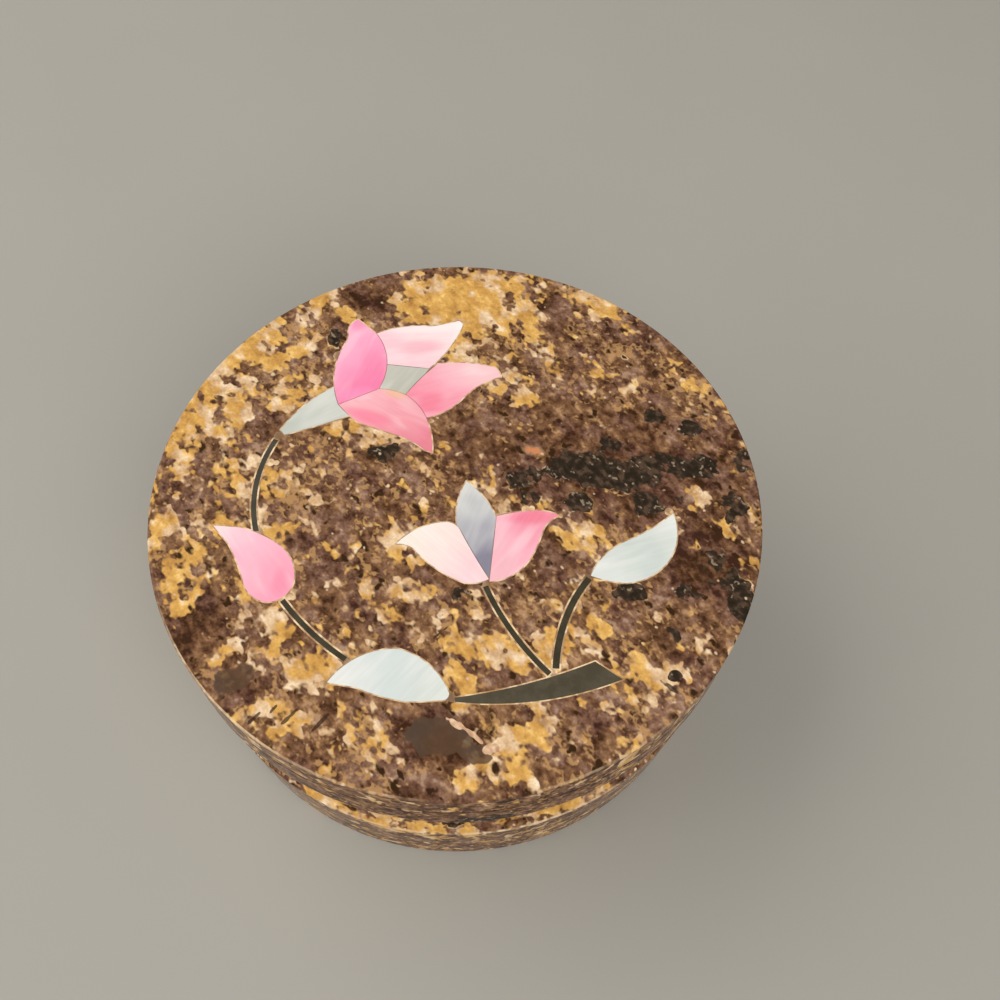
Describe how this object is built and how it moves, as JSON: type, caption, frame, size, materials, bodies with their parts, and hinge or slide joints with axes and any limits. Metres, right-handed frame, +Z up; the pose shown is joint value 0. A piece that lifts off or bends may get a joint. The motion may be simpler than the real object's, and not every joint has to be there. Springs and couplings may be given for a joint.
{
  "type": "trinket box",
  "caption": "Round turned marble trinket box with a loose lift-off lid and a flower spray inlaid in the lid's top.",
  "frame": {"origin": "middle of the box's underside, on the table", "axes": "+Z up, along the turned axis of box and lid; the spray on the lid reads upright with +Y towards the top of the flower"},
  "size_m": [0.102, 0.102, 0.0445],
  "materials": {
    "marble_base": "polished brown and gold mottled marble",
    "marble_lid": "polished brown and gold mottled marble",
    "cement": "cream filler, rubbed flush",
    "shell_pink": "dyed shell, polished",
    "shell_pale_pink": "dyed shell, polished",
    "shell_rose": "dyed shell, polished",
    "shell_grey": "grey shell, polished",
    "shell_lavender": "grey lavender shell, polished",
    "shell_white": "white shell, polished",
    "black_stone": "black stone, polished"
  },
  "bodies": {
    "base": {"box_base": "marble_base"},
    "lid": {"lid": "marble_lid", "inlay_cement": "cement", "flower_petal_left": "shell_pink", "flower_petal_top": "shell_pale_pink", "flower_petal_right": "shell_rose", "flower_petal_bottom": "shell_rose", "flower_heart": "shell_grey", "flower_calyx": "shell_grey", "stem_flower_to_bud": "black_stone", "bud": "shell_pink", "stem_bud_to_leaf": "black_stone", "lower_leaf": "shell_white", "branch": "black_stone", "tulip_stem": "black_stone", "tulip_petal_left": "shell_pale_pink", "tulip_petal_middle": "shell_lavender", "tulip_petal_right": "shell_rose", "side_leaf_stem": "black_stone", "side_leaf": "shell_white"}
  },
  "joints": [
    {"name": "lid_lift", "type": "slide", "parent": "base", "child": "lid", "axis": [0, 0, 1], "range_m": [0, 0.06]}
  ]
}
